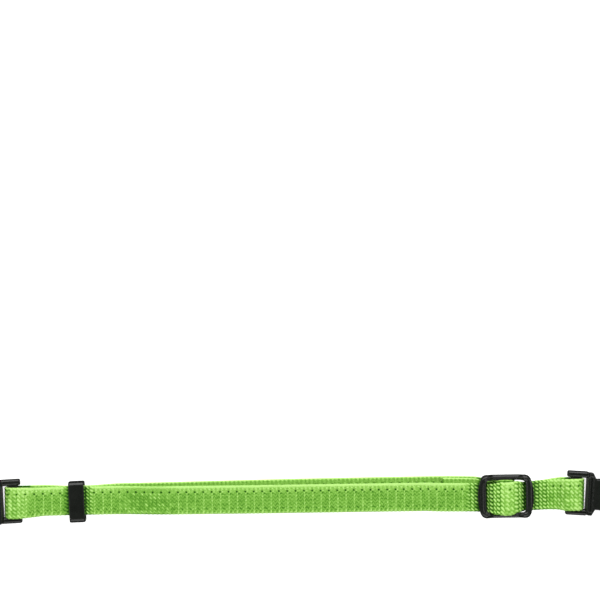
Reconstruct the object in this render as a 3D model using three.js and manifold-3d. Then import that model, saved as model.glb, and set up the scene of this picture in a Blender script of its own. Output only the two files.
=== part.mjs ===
import * as THREE from 'three';
import { mergeVertices } from 'three/addons/utils/BufferGeometryUtils.js';
import Module from 'manifold-3d';

const wasm = await Module();
wasm.setup();

// A small dog's collar, unfastened and laid out straight on a table.
// One knitted tape is threaded through everything: from its loose tail it goes over the
// slider's middle bar, back along the table to the socket half, up round its end bar, along the
// top through the keeper and the slider, and down round the prong half's end bar.
// Millimetres, X along the strap, Z up, the table at Z = 0.

// The tape, and the air around it
const tapeWidth = 10;
const tapeThick = 1.25;
const pressedThick = 1.05;
const edgeChamfer = 0.35;
const layerGap = 0.15;
const clearance = 0.3;

// Where the hard pieces sit along the strap, centre to centre
const barSpan = 197.94;
const keeperAt = 22.44;
const sliderBack = 24.7;
const tailLong = 22;
const turnedUnder = 14;

// How far each piece lies to the side of the straight line, how far it is turned, and how far
// the folds of tape in the buckle's loops are turned
const socketSide = 0.5;
const socketTurn = THREE.MathUtils.degToRad(2.6);
const prongSide = 0.57;
const prongTurn = THREE.MathUtils.degToRad(-4.2);
const keeperSide = 0.08;
const keeperTurn = THREE.MathUtils.degToRad(1.7);
const sliderSide = -0.13;
const socketFoldTurn = THREE.MathUtils.degToRad(1.2);
const prongFoldTurn = THREE.MathUtils.degToRad(-2.5);
const spreadPower = 6;

// The loop of each buckle half: two side bars and the end bar that the tape goes round
const loopSpare = 1;
const sideBarWide = 2.3;
const sideBarLow = 0.5;
const sideBarHigh = 2.9;
const sideBarPast = 0.9;
const prongBarsMore = 0.5;
const sideBarRound = 0.9;
const endBarWide = 3.4;
const endBarThick = 1.7;
const slotWide = 2.1;

// The socket half's housing
const housingLong = 17.5;
const housingHigh = 6.4;
const housingSkin = 1;
const housingSide = 1.25;
const housingBack = 2.2;
const windowLong = 7.5;
const windowFromMouth = 3.2;

// The prong half's ridge, the rib beside it, shoulder, arms and guide
const ridgeLong = 1.1;
const ridgeIn = 1.7;
const ribGap = 0.4;
const ribLong = 0.5;
const ribDrop = 0.45;
const ribEdge = 0.12;
const shoulderLong = 1.1;
const neckLong = 3;
const neckWide = 10.7;
const shoulderThick = 4.6;
const armLong = 15.15;
const armPlay = 0.4;
const guideWide = 2.8;
const guideShort = 2;

// The slider
const sliderWindowLong = 14;
const sliderEndBar = 2.8;
const windowSpare = 1.5;
const railWide = 1.84;
const railThick = 1.7;
const railDrop = 1.35;
const middleBarWide = 4;
const middleBarThick = 1.6;
const sliderOutlineCorner = 1.9;
const sliderBulge = 1.1;

// The keeper
const keeperLong = 5.5;
const keeperSpare = 1.9;
const keeperWall = 1.1;
const keeperSideWall = 1.3;
const keeperCorner = 1.5;

// Rounding
const hardEdge = 0.3;
const barEdge = 0.45;
const cornerRound = 1.3;
const innerRound = 0.7;
const windowRound = 1.1;
const roundShare = 0.45;

// Widths that the tape has to pass through
const loopInside = tapeWidth + loopSpare;
const sliderWindowWide = tapeWidth + windowSpare;
const sliderWide = sliderWindowWide + 2 * railWide;
const sliderLong = sliderWindowLong + 2 * sliderEndBar;
const keeperWide = tapeWidth + keeperSpare + 2 * keeperSideWall;

// Heights of the tape's middle, worked out from what it passes over
const onTable = tapeThick / 2;
const onOneLayer = onTable + tapeThick + layerGap;
const onTwoLayers = onOneLayer + tapeThick + layerGap;
const barLow = tapeThick + clearance;
const overEndBar = barLow + endBarThick + clearance + tapeThick / 2;
const overMiddleBar = barLow + middleBarThick + clearance + tapeThick / 2;
const humpLevel = overMiddleBar + tapeThick + layerGap;
const pressedLow = pressedThick / 2;
const pressedMiddle = pressedLow + pressedThick + layerGap;
const pressedTop = pressedMiddle + pressedThick + layerGap;
const inKeeperLow = keeperWall + clearance + tapeThick / 2;
const inKeeperHigh = inKeeperLow + tapeThick + layerGap;

// Heights of the hard pieces that rest on the tape
const sliderBarLow = pressedTop + pressedThick / 2 + clearance;
const underBar = sliderBarLow - clearance - tapeThick / 2;
const humpFoot = between(pressedTop, humpLevel, 0.12);
const humpFlank = between(pressedTop, humpLevel, 0.86);
const railLow = sliderBarLow - railDrop;
const keeperHigh = inKeeperHigh + tapeThick / 2 + clearance + keeperWall;
const sideBarTop = sideBarLow + sideBarHigh;

// Places along X, counted from the socket half's end bar
const socketBarX = 0;
const prongBarX = barSpan;
const keeperX = keeperAt;
const sliderX = barSpan - sliderBack;
const tailEndX = sliderX - tailLong;
const keeperReach = keeperLong / 2 + clearance;
const windowReach = sliderWindowLong / 2;
const sliderReach = sliderLong / 2;
const middleTurn = middleBarWide / 2 - middleBarThick / 2;
const endTurn = endBarWide / 2 - endBarThick / 2;
const insideWindow = between(windowReach, middleTurn, 0.12);
const footReach = between(middleBarWide, windowReach, 0.8);
const inFront = between(socketBarX, keeperX, 0.5);
const loopHalf = loopInside / 2 + sideBarWide;
const loopEnd = endBarWide / 2 + sideBarPast;
const slotEnd = endBarWide / 2 + slotWide;

function between(from, to, share) {
  return from + (to - from) * share;
}

// Gives each row of a table a slope that never overshoots the rows beside it.
function slopes(distance, values) {
  const steps = values.slice(1).map((value, i) => (value - values[i]) / (distance[i + 1] - distance[i]));
  return values.map((value, i) => {
    if (i === 0 || i === values.length - 1) return 0;
    const before = steps[i - 1];
    const after = steps[i];
    return before * after > 0 ? (2 * before * after) / (before + after) : 0;
  });
}

// Smooth value between two rows, share 0 to 1.
function blend(v0, v1, m0, m1, span, share) {
  const s2 = share * share;
  const s3 = s2 * share;
  return v0 * (2 * s3 - 3 * s2 + 1) + v1 * (3 * s2 - 2 * s3)
    + span * (m0 * (s3 - 2 * s2 + share) + m1 * (s3 - s2));
}

// Turns a table of rows along the strap into stations. Columns: x, z and turn as they are, side
// and wide as shares of the tape's width, thick in millimetres, steps to the next row.
function run(rows) {
  const keys = ['z', 'side', 'wide', 'thick', 'turn'];
  const distance = rows.map((row) => Math.abs(row.x - rows[0].x));
  const tangents = Object.fromEntries(keys.map((key) => [key, slopes(distance, rows.map((r) => r[key]))]));
  const stations = [];
  rows.slice(0, -1).forEach((row, i) => {
    const next = rows[i + 1];
    const span = distance[i + 1] - distance[i];
    for (let step = 0; step < row.steps; step += 1) {
      const share = step / row.steps;
      const station = { x: between(row.x, next.x, share) };
      keys.forEach((key) => {
        station[key] = blend(row[key], next[key], tangents[key][i], tangents[key][i + 1], span, share);
      });
      stations.push(station);
    }
  });
  stations.push(rows[rows.length - 1]);
  return stations;
}

// A fold of the tape round a bar: half a circle in the XZ plane from angle to angle. Near its top
// the low row's side and width give way to the high row's, where the tape lies over the side bars.
function fold(lowRow, highRow, centreX, lowZ, highZ, fromAngle, toAngle) {
  const radius = (highZ - lowZ) / 2;
  const steps = 14;
  return Array.from({ length: steps - 1 }, (_, i) => {
    const angle = between(fromAngle, toAngle, (i + 1) / steps);
    const change = ((1 + Math.sin(angle)) / 2) ** spreadPower;
    return {
      ...highRow,
      side: between(lowRow.side, highRow.side, change),
      wide: between(lowRow.wide, highRow.wide, change),
      x: centreX + radius * Math.cos(angle),
      z: (lowZ + highZ) / 2 + radius * Math.sin(angle),
    };
  });
}

// Section of the tape: a flat strip with chamfered edges, as points across and through.
function tapeSection(wide, thick) {
  const across = wide / 2;
  const through = thick / 2;
  const inAcross = across - edgeChamfer;
  const inThrough = through - Math.min(edgeChamfer, through / 2);
  return [
    [inAcross, -through], [across, -inThrough], [across, inThrough], [inAcross, through],
    [-inAcross, through], [-across, inThrough], [-across, -inThrough], [-inAcross, -through],
  ];
}

// A closed solid through a list of rings with the same number of points.
function loft(rings) {
  const count = rings[0].length;
  const index = [];
  rings.slice(0, -1).forEach((ring, r) => {
    for (let p = 0; p < count; p += 1) {
      const next = (p + 1) % count;
      const a = r * count + p;
      const b = r * count + next;
      index.push(a, b, b + count, a, b + count, a + count);
    }
  });
  const last = (rings.length - 1) * count;
  for (let p = 1; p < count - 1; p += 1) {
    index.push(0, p + 1, p);
    index.push(last, last + p, last + p + 1);
  }
  const geometry = new THREE.BufferGeometry();
  geometry.setAttribute('position', new THREE.Float32BufferAttribute(rings.flat(2), 3));
  geometry.setIndex(index);
  geometry.computeVertexNormals();
  return geometry;
}

// The whole tape in one piece, from the loose tail's cut end to the end turned under the prong.
function strapGeometry() {
  const plain = { side: 0, wide: 1, thick: tapeThick, turn: 0, steps: 1 };
  const pressed = { ...plain, thick: pressedThick };
  const socketFold = { ...plain, side: -0.005, wide: 1.07, turn: socketFoldTurn, steps: 4 };
  const prongFold = { ...plain, wide: 1.07, turn: prongFoldTurn, steps: 4 };
  const socketFoldLow = { ...socketFold, side: 0.04, wide: 1 };
  const prongFoldLow = { ...prongFold, side: 0.045, wide: 1 };
  const middleFold = { ...plain, wide: 1.03, steps: 4 };

  const tail = run([
    { ...plain, x: tailEndX, z: onOneLayer, side: 0.165, steps: 6 },
    { ...pressed, x: sliderX - sliderReach - 1, z: pressedMiddle, side: 0.14, steps: 3 },
    { ...pressed, x: sliderX - insideWindow, z: pressedMiddle, steps: 10 },
    { ...middleFold, x: sliderX - middleTurn, z: overMiddleBar, steps: 2 },
    { ...middleFold, x: sliderX + middleTurn, z: overMiddleBar },
  ]);
  const below = run([
    { ...middleFold, x: sliderX + middleTurn, z: onTable },
    { ...plain, x: sliderX - middleBarWide / 2, z: onTable, side: 0.02, steps: 2 },
    { ...pressed, x: sliderX - windowReach, z: pressedLow, side: 0.1, steps: 3 },
    { ...pressed, x: sliderX - sliderReach - 1, z: pressedLow, side: 0.16, steps: 4 },
    { ...plain, x: tailEndX - tapeThick, z: onTable, side: 0.225, steps: 8 },
    { ...plain, x: between(keeperX, tailEndX, 0.62), z: onTable, side: 0.186, steps: 8 },
    { ...plain, x: between(keeperX, tailEndX, 0.2), z: onTable, side: 0.127, steps: 4 },
    { ...plain, x: between(keeperX, tailEndX, 0.12), z: onTable, side: 0.12, steps: 7 },
    { ...plain, x: keeperX + keeperReach, z: inKeeperLow, side: 0.06, steps: 2 },
    { ...plain, x: keeperX - keeperReach, z: inKeeperLow, side: 0.06, steps: 4 },
    { ...plain, x: inFront, z: between(onTable, inKeeperLow, 0.5), side: 0.1, steps: 4 },
    { ...socketFoldLow, x: socketBarX + loopEnd, z: onTable, side: 0.065, steps: 3 },
    { ...socketFoldLow, x: socketBarX - endTurn, z: onTable },
  ]);
  const top = run([
    { ...socketFold, x: socketBarX - endTurn, z: overEndBar },
    { ...socketFold, x: socketBarX + endTurn, z: overEndBar, steps: 6 },
    { ...plain, x: between(socketBarX, keeperX, 0.52), z: inKeeperHigh, side: 0.035, steps: 3 },
    { ...plain, x: keeperX - keeperReach, z: inKeeperHigh, side: 0.053, steps: 2 },
    { ...plain, x: keeperX + keeperReach, z: inKeeperHigh, side: 0.06, steps: 7 },
    { ...plain, x: between(keeperX, tailEndX, 0.12), z: onOneLayer, side: 0.04, steps: 8 },
    { ...plain, x: between(keeperX, tailEndX, 0.5), z: onOneLayer, side: -0.005, steps: 8 },
    { ...plain, x: between(keeperX, tailEndX, 0.95), z: onOneLayer, side: -0.01, steps: 7 },
    { ...plain, x: tailEndX - tapeThick / 2, z: onTwoLayers, side: -0.02, steps: 4 },
    { ...pressed, x: sliderX - sliderReach - 1, z: pressedTop, side: -0.045, steps: 3 },
    { ...pressed, x: sliderX - windowReach, z: pressedTop, side: -0.06, steps: 2 },
    { ...plain, x: sliderX - footReach, z: humpFoot, side: -0.055, steps: 5 },
    { ...plain, x: sliderX - middleBarWide, z: humpFlank, side: -0.07, wide: 1.03, steps: 5 },
    { ...plain, x: sliderX - middleBarWide / 2, z: humpLevel, side: -0.09, wide: 1.13, steps: 3 },
    { ...plain, x: sliderX, z: humpLevel, side: -0.1, wide: 1.17, steps: 3 },
    { ...plain, x: sliderX + middleBarWide / 2, z: humpLevel, side: -0.085, wide: 1.16, steps: 5 },
    { ...plain, x: sliderX + middleBarWide, z: humpFlank, side: -0.04, wide: 1.08, steps: 5 },
    { ...plain, x: sliderX + footReach, z: humpFoot, side: -0.035, wide: 1.01, steps: 2 },
    { ...plain, x: sliderX + windowReach, z: underBar, side: -0.02, steps: 3 },
    { ...plain, x: sliderX + sliderReach, z: underBar, side: -0.01, wide: 1.02, steps: 4 },
    { ...plain, x: between(prongBarX, sliderX, 0.36), z: onOneLayer, side: 0.01, wide: 1.03, steps: 2 },
    { ...plain, x: between(prongBarX, sliderX, 0.27), z: onOneLayer, side: 0.01, wide: 1.03, steps: 7 },
    { ...prongFold, x: prongBarX - loopEnd, z: overEndBar, steps: 2 },
    { ...prongFold, x: prongBarX - endTurn, z: overEndBar, steps: 3 },
    { ...prongFold, x: prongBarX + endTurn, z: overEndBar },
  ]);
  const under = run([
    { ...prongFoldLow, x: prongBarX + endTurn, z: onTable },
    { ...prongFoldLow, x: prongBarX - loopEnd, z: onTable, side: 0.07, steps: 3 },
    { ...plain, x: prongBarX - 2 * loopEnd, z: onTable, side: 0.075, steps: 4 },
    { ...plain, x: prongBarX - turnedUnder, z: onTable },
  ]);
  const half = Math.PI / 2;
  const stations = [
    ...tail,
    ...fold(middleFold, middleFold, sliderX + middleTurn, onTable, overMiddleBar, half, -half),
    ...below,
    ...fold(socketFoldLow, socketFold, socketBarX - endTurn, onTable, overEndBar, 3 * half, half),
    ...top,
    ...fold(prongFoldLow, prongFold, prongBarX + endTurn, onTable, overEndBar, half, -half),
    ...under,
  ];
  const rings = stations.map((station, i) => {
    const before = stations[Math.max(i - 1, 0)];
    const after = stations[Math.min(i + 1, stations.length - 1)];
    const along = Math.hypot(after.x - before.x, after.z - before.z);
    const normalX = -(after.z - before.z) / along;
    const normalZ = (after.x - before.x) / along;
    const acrossX = -Math.sin(station.turn);
    const acrossY = Math.cos(station.turn);
    return tapeSection(station.wide * tapeWidth, station.thick).map(([across, through]) => [
      station.x + across * acrossX + through * normalX,
      station.side * tapeWidth + across * acrossY,
      station.z + through * normalZ,
    ]);
  });
  return loft(rings);
}

function toSolid(geometry) {
  geometry.deleteAttribute('normal');
  geometry.deleteAttribute('uv');
  const merged = mergeVertices(geometry, 1e-4);
  return new wasm.Manifold(new wasm.Mesh({
    numProp: 3,
    vertProperties: new Float32Array(merged.attributes.position.array),
    triVerts: new Uint32Array(merged.index.array),
  }));
}

function toGeometry(solid) {
  const mesh = solid.getMesh();
  const geometry = new THREE.BufferGeometry();
  geometry.setAttribute('position', new THREE.BufferAttribute(mesh.vertProperties, 3));
  geometry.setIndex(new THREE.BufferAttribute(mesh.triVerts, 1));
  geometry.computeVertexNormals();
  return geometry;
}

// A rectangle from corner to corner with round corners.
function roundedRectangle(x0, y0, x1, y1, radius) {
  const r = Math.min(radius, (x1 - x0) * roundShare, (y1 - y0) * roundShare);
  const shape = new THREE.Shape();
  shape.moveTo(x0 + r, y0);
  shape.lineTo(x1 - r, y0);
  shape.absarc(x1 - r, y0 + r, r, -Math.PI / 2, 0);
  shape.lineTo(x1, y1 - r);
  shape.absarc(x1 - r, y1 - r, r, 0, Math.PI / 2);
  shape.lineTo(x0 + r, y1);
  shape.absarc(x0 + r, y1 - r, r, Math.PI / 2, Math.PI);
  shape.lineTo(x0, y0 + r);
  shape.absarc(x0 + r, y0 + r, r, Math.PI, 1.5 * Math.PI);
  return shape;
}

function extrusion(shape, depth, edge) {
  const bevel = Math.min(edge, depth / 4);
  return new THREE.ExtrudeGeometry(shape, {
    depth: depth - 2 * bevel,
    curveSegments: 6,
    bevelEnabled: bevel > 0,
    bevelThickness: bevel,
    bevelSize: bevel,
    bevelOffset: -bevel,
    bevelSegments: 2,
  }).translate(0, 0, bevel);
}

// A plan outline raised between two heights.
function raised(shape, low, high, edge) {
  return toSolid(extrusion(shape, high - low, edge).translate(0, 0, low));
}

// A side profile, drawn in X and Z, carried across from -half to +half along Y.
function across(profile, half, edge) {
  const turn = new THREE.Matrix4().makeBasis(
    new THREE.Vector3(1, 0, 0), new THREE.Vector3(0, 0, 1), new THREE.Vector3(0, -1, 0));
  return toSolid(extrusion(profile, 2 * half, edge).applyMatrix4(turn).translate(0, half, 0));
}

// A section drawn in Y and Z, carried along X between two places.
function lengthwise(section, from, to, edge) {
  const turn = new THREE.Matrix4().makeBasis(
    new THREE.Vector3(0, 1, 0), new THREE.Vector3(0, 0, 1), new THREE.Vector3(1, 0, 0));
  return toSolid(extrusion(section, to - from, edge).applyMatrix4(turn).translate(from, 0, 0));
}

// The loop that both buckle halves share, its end bar's middle at the origin, opening along +X.
// Its side bars pass the end bar's edge by sideBarPast and more.
function buckleLoop(reach, more) {
  const bar = across(
    roundedRectangle(-endBarWide / 2, barLow, endBarWide / 2, barLow + endBarThick, endBarThick / 2),
    (loopInside + sideBarWide) / 2, 0);
  return [-1, 1].reduce((solid, side) => {
    const inner = side * loopInside / 2;
    const outer = side * loopHalf;
    const section = roundedRectangle(
      Math.min(inner, outer), sideBarLow, Math.max(inner, outer), sideBarTop, sideBarRound);
    return solid.add(lengthwise(section, -loopEnd - more, reach, barEdge));
  }, bar);
}

// The half with the housing that the prongs click into.
function socketGeometry() {
  const mouth = slotEnd + housingLong;
  const housing = raised(
    roundedRectangle(slotEnd, -loopHalf, mouth, loopHalf, cornerRound), 0, housingHigh, hardEdge);
  const low = housingSkin;
  const high = housingHigh - housingSkin;
  const cavityHalf = loopHalf - housingSide;
  const cavity = raised(
    roundedRectangle(slotEnd + housingBack, -cavityHalf, mouth + 1, cavityHalf, innerRound), low, high, 0);
  const windowEnd = mouth - windowFromMouth;
  const windows = across(
    roundedRectangle(windowEnd - windowLong, low, windowEnd, high, innerRound), loopHalf + 1, 0);
  const loop = buckleLoop(slotEnd + housingBack / 2, 0);
  return toGeometry(loop.add(housing).subtract(cavity).subtract(windows));
}

// One flexing arm in plan. Rows: share of the arm's length, and the inner and outer edge as
// shares of the loop's half width.
const armRows = [
  { along: 0, inner: 0.42, outer: 0.69 },
  { along: 0.32, inner: 0.47, outer: 0.74 },
  { along: 0.5, inner: 0.55, outer: 0.86 },
  { along: 0.6, inner: 0.6, outer: 0.98 },
  { along: 0.82, inner: 0.58, outer: 0.94 },
  { along: 1, inner: 0.45, outer: 0.62 },
];

function armOutline(start, side) {
  const edge = (key) => armRows.map((row) => new THREE.Vector2(
    start + row.along * armLong, side * row[key] * loopHalf));
  const outer = edge('outer');
  const inner = edge('inner').reverse();
  const shape = new THREE.Shape();
  shape.moveTo(outer[0].x, outer[0].y);
  shape.splineThru(outer.slice(1));
  shape.lineTo(inner[0].x, inner[0].y);
  shape.splineThru(inner.slice(1));
  return shape;
}

function rectangle(x0, y0, x1, y1) {
  return new THREE.Shape([
    new THREE.Vector2(x0, y0),
    new THREE.Vector2(x1, y0),
    new THREE.Vector2(x1, y1),
    new THREE.Vector2(x0, y1),
  ]);
}

// The half with the arms, and the guide between them.
function prongGeometry() {
  const ribStart = slotEnd + ridgeLong + ribGap;
  const ribEnd = ribStart + ribLong;
  const neckStart = ribEnd + shoulderLong;
  const ridgeHalf = loopHalf - ridgeIn;
  const middle = housingHigh / 2;
  const armThick = housingHigh - 2 * housingSkin - 2 * armPlay;
  const ridge = raised(
    rectangle(slotEnd, -ridgeHalf, slotEnd + ridgeLong, ridgeHalf),
    0, housingHigh, hardEdge);
  const rib = raised(
    rectangle(ribStart, -ridgeHalf, ribEnd, ridgeHalf),
    ribDrop, housingHigh - ribDrop, ribEdge);
  const shoulder = new THREE.Shape([
    new THREE.Vector2(slotEnd + ridgeLong / 2, -loopHalf + hardEdge),
    new THREE.Vector2(ribEnd, -loopHalf + hardEdge),
    new THREE.Vector2(neckStart, -neckWide / 2),
    new THREE.Vector2(neckStart + neckLong, -neckWide / 2),
    new THREE.Vector2(neckStart + neckLong, neckWide / 2),
    new THREE.Vector2(neckStart, neckWide / 2),
    new THREE.Vector2(ribEnd, loopHalf - hardEdge),
    new THREE.Vector2(slotEnd + ridgeLong / 2, loopHalf - hardEdge),
  ]);
  const low = middle - armThick / 2;
  const high = middle + armThick / 2;
  const guideEnd = neckStart + armLong - guideShort;
  const guideHalf = guideWide / 2;
  const guide = raised(
    roundedRectangle(neckStart - 1, -guideHalf, guideEnd, guideHalf, guideHalf), low, high, hardEdge);
  const body = buckleLoop(slotEnd + ridgeLong / 2, prongBarsMore)
    .add(ridge)
    .add(rib)
    .add(raised(shoulder, middle - shoulderThick / 2, middle + shoulderThick / 2, hardEdge))
    .add(guide);
  return toGeometry([-1, 1].reduce(
    (solid, side) => solid.add(raised(armOutline(neckStart, side), low, high, 0)), body));
}

// The slider's outline: long sides nearly straight, ends bowed outward.
function sliderOutline() {
  const halfLong = sliderLong / 2;
  const halfWide = sliderWide / 2;
  const end = halfLong - sliderBulge;
  const bow = between(end, halfLong, 0.4);
  const r = sliderOutlineCorner;
  const shape = new THREE.Shape();
  shape.moveTo(-end + r, -halfWide);
  shape.lineTo(end - r, -halfWide);
  shape.quadraticCurveTo(end, -halfWide, bow, -halfWide + r * 1.4);
  shape.quadraticCurveTo(halfLong, -halfWide + r * 2.4, halfLong, 0);
  shape.quadraticCurveTo(halfLong, halfWide - r * 2.4, bow, halfWide - r * 1.4);
  shape.quadraticCurveTo(end, halfWide, end - r, halfWide);
  shape.lineTo(-end + r, halfWide);
  shape.quadraticCurveTo(-end, halfWide, -bow, halfWide - r * 1.4);
  shape.quadraticCurveTo(-halfLong, halfWide - r * 2.4, -halfLong, 0);
  shape.quadraticCurveTo(-halfLong, -halfWide + r * 2.4, -bow, -halfWide + r * 1.4);
  shape.quadraticCurveTo(-end, -halfWide, -end + r, -halfWide);
  return shape;
}

// Side view of the slider's frame: low rails between end bars that arch up over the tape.
function sliderArch() {
  const past = sliderReach + 1;
  const flat = windowReach * 0.62;
  const bend = between(windowReach, flat, 0.5);
  const barTop = sliderBarLow + railThick;
  const railTop = railLow + railThick;
  const shape = new THREE.Shape();
  shape.moveTo(-past, sliderBarLow);
  shape.lineTo(-windowReach, sliderBarLow);
  shape.bezierCurveTo(-bend, sliderBarLow, -bend, railLow, -flat, railLow);
  shape.lineTo(flat, railLow);
  shape.bezierCurveTo(bend, railLow, bend, sliderBarLow, windowReach, sliderBarLow);
  shape.lineTo(past, sliderBarLow);
  shape.lineTo(past, barTop);
  shape.lineTo(windowReach, barTop);
  shape.bezierCurveTo(bend, barTop, bend, railTop, flat, railTop);
  shape.lineTo(-flat, railTop);
  shape.bezierCurveTo(-bend, railTop, -bend, barTop, -windowReach, barTop);
  shape.lineTo(-past, barTop);
  return shape;
}

function sliderGeometry() {
  const tall = sliderBarLow + railThick + 1;
  const frame = raised(sliderOutline(), 0, tall, 0);
  const openingHalf = sliderWindowWide / 2;
  const opening = raised(
    roundedRectangle(-windowReach, -openingHalf, windowReach, openingHalf, windowRound), -1, tall + 1, 0);
  const arch = across(sliderArch(), sliderWide, 0);
  const barHalf = middleBarWide / 2;
  const middleBar = across(
    roundedRectangle(-barHalf, barLow, barHalf, barLow + middleBarThick, middleBarThick / 2),
    (sliderWindowWide + sliderWide) / 4, 0);
  return toGeometry(frame.subtract(opening).intersect(arch).add(middleBar));
}

// A rigid loop that holds the two layers together.
function keeperGeometry() {
  const half = keeperWide / 2;
  const shape = roundedRectangle(-half, 0, half, keeperHigh, keeperCorner);
  shape.holes.push(roundedRectangle(
    -half + keeperSideWall, keeperWall, half - keeperSideWall, keeperHigh - keeperWall, innerRound));
  return toGeometry(lengthwise(shape, -keeperLong / 2, keeperLong / 2, hardEdge));
}

const limeKnit = { color: 0x84bb52, roughness: 0.85, metalness: 0 };
const blackPlastic = { color: 0x1c1e1b, roughness: 0.45, metalness: 0 };

const collar = new THREE.Group();

function piece(name, geometry, finish, x, y, turn) {
  const mesh = new THREE.Mesh(geometry, new THREE.MeshStandardMaterial(finish));
  mesh.name = name;
  mesh.position.set(x, y, 0);
  mesh.rotation.z = turn;
  collar.add(mesh);
}

piece('strap', strapGeometry(), limeKnit, 0, 0, 0);
piece('slider', sliderGeometry(), blackPlastic, sliderX, sliderSide, 0);
piece('keeper', keeperGeometry(), blackPlastic, keeperX, keeperSide, keeperTurn);
piece('buckle_socket', socketGeometry(), blackPlastic, socketBarX, socketSide, Math.PI + socketTurn);
piece('buckle_prong', prongGeometry(), blackPlastic, prongBarX, prongSide, prongTurn);

// The origin is under the middle of the laid-out collar.
collar.updateMatrixWorld(true);
const bounds = new THREE.Box3().setFromObject(collar, true);
const middle = bounds.getCenter(new THREE.Vector3());
collar.position.set(-middle.x, -middle.y, -bounds.min.z);

export default collar;
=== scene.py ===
# %% [markdown]
# # A small dog's collar, laid open
# One knitted tape, a slider, a keeper loop and the two halves of a side-release buckle. The
# collar comes in as a fixed frame of plain solids, in metres. This lesson puts the finished
# surfaces round that frame: a knit whose stitches stand up, and black moulded plastic.

import math

import bmesh
import bpy
import numpy as np
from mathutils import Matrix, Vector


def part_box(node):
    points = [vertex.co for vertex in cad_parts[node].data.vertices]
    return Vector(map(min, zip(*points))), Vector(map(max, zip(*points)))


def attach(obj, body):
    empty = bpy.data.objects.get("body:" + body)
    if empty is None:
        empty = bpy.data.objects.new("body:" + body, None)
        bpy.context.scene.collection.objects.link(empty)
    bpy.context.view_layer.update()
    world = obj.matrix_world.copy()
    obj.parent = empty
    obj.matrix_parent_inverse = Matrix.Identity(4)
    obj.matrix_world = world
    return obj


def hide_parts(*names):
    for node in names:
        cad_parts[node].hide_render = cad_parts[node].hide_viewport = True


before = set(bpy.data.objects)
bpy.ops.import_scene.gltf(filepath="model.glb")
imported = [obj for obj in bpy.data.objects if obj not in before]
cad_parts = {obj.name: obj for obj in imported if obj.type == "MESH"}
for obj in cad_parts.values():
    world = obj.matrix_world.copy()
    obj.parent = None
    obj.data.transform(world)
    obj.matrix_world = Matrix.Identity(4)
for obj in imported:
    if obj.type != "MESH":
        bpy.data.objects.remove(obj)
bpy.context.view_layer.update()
MM = 0.001  # one millimetre in metres, the unit of the frame and of Blender

# %% [markdown]
# ## The camera
# The photo looks straight down. The collar lies near its lower edge, a little turned, and both
# ends run out of the picture. A camera can be set by eye until the picture fits. Here the lens is
# worked out instead: the tape is 28.4 pixels wide and 10 mm in life, which fixes how many pixels a
# millimetre gets. How much of the inner walls shows fixes the camera's height.

# %% Camera
PICTURE_PIXELS = 600
SENSOR_MM = 36.0
TAPE_WIDE = 10.0
TAPE_PIXELS = 28.4
CAMERA_HIGH = 730.0
TAPE_TOP = 3.0
ROW_TURN = math.radians(0.8354)
CAMERA_FROM_SLIDER = (-71.295, 70.056)


def box_mm(node):
    """The lowest and highest corners of a CAD node, in millimetres."""
    return [np.array(corner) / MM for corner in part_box(node)]


slider_low, slider_high = box_mm("slider")
slider_middle = (slider_low + slider_high) / 2
camera_x = slider_middle[0] + CAMERA_FROM_SLIDER[0]
camera_y = slider_middle[1] + CAMERA_FROM_SLIDER[1]

pixels_per_slope = TAPE_PIXELS / TAPE_WIDE * (CAMERA_HIGH - TAPE_TOP)
lens = bpy.data.cameras.new("camera")
lens.sensor_width = SENSOR_MM
lens.lens = pixels_per_slope / PICTURE_PIXELS * SENSOR_MM
lens.clip_start = 0.01
camera = bpy.data.objects.new("camera", lens)
camera.location = (camera_x * MM, camera_y * MM, CAMERA_HIGH * MM)
camera.rotation_euler = (0.0, 0.0, -ROW_TURN)
bpy.context.scene.collection.objects.link(camera)
bpy.context.scene.camera = camera
print("lens in mm:", round(lens.lens, 1))

# %% [markdown]
# ## A small language for materials
# Node trees get hard to read when every sum is four lines of code. A Wire stands for one socket,
# so `1 - mask * 0.5` reads as arithmetic and adds the Math nodes by itself. Every other node
# comes from one method that takes its type, its settings and its sockets.

# %% Shader helpers
class Wire:
    """One output socket. Sums, differences and products of wires and numbers add Math nodes."""

    def __init__(self, shader, socket):
        self.shader = shader
        self.socket = socket

    def math(self, operation, *values):
        return self.shader.add("ShaderNodeMath", "Value", {"operation": operation}, dict(enumerate(values)))

    def __add__(self, other):
        return self.math("ADD", self, other)

    def __sub__(self, other):
        return self.math("SUBTRACT", self, other)

    def __rsub__(self, other):
        return self.math("SUBTRACT", other, self)

    def __mul__(self, other):
        return self.math("MULTIPLY", self, other)

    __radd__ = __add__
    __rmul__ = __mul__


class Shader:
    """A material's node tree round one Principled shader."""

    def __init__(self, name):
        self.material = bpy.data.materials.new(name)
        self.material.use_nodes = True
        self.tree = self.material.node_tree
        self.surface = self.tree.nodes["Principled BSDF"]

    def join(self, value, socket):
        if isinstance(value, Wire):
            self.tree.links.new(value.socket, socket)
        else:
            socket.default_value = value

    def add(self, kind, output, settings=None, sockets=None):
        """Adds a node: settings first, then values or wires on its sockets; returns one output."""
        node = self.tree.nodes.new(kind)
        for key, value in (settings or {}).items():
            if key == "stops":
                fill_ramp(node.color_ramp, value)
            else:
                setattr(node, key, value)
        for key, value in (sockets or {}).items():
            self.join(value, node.inputs[key])
        return Wire(self, node.outputs[output])

    def set(self, **sockets):
        """Sets sockets of the Principled shader; an underscore in a name stands for a space."""
        for key, value in sockets.items():
            self.join(value, self.surface.inputs[key.replace("_", " ")])

    def noise(self, place, scale, detail=2.0):
        """Smooth noise from nought to one at a place, finer with a larger scale."""
        sockets = {"Vector": place, "Scale": scale, "Detail": detail}
        return self.add("ShaderNodeTexNoise", "Fac", None, sockets)


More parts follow.
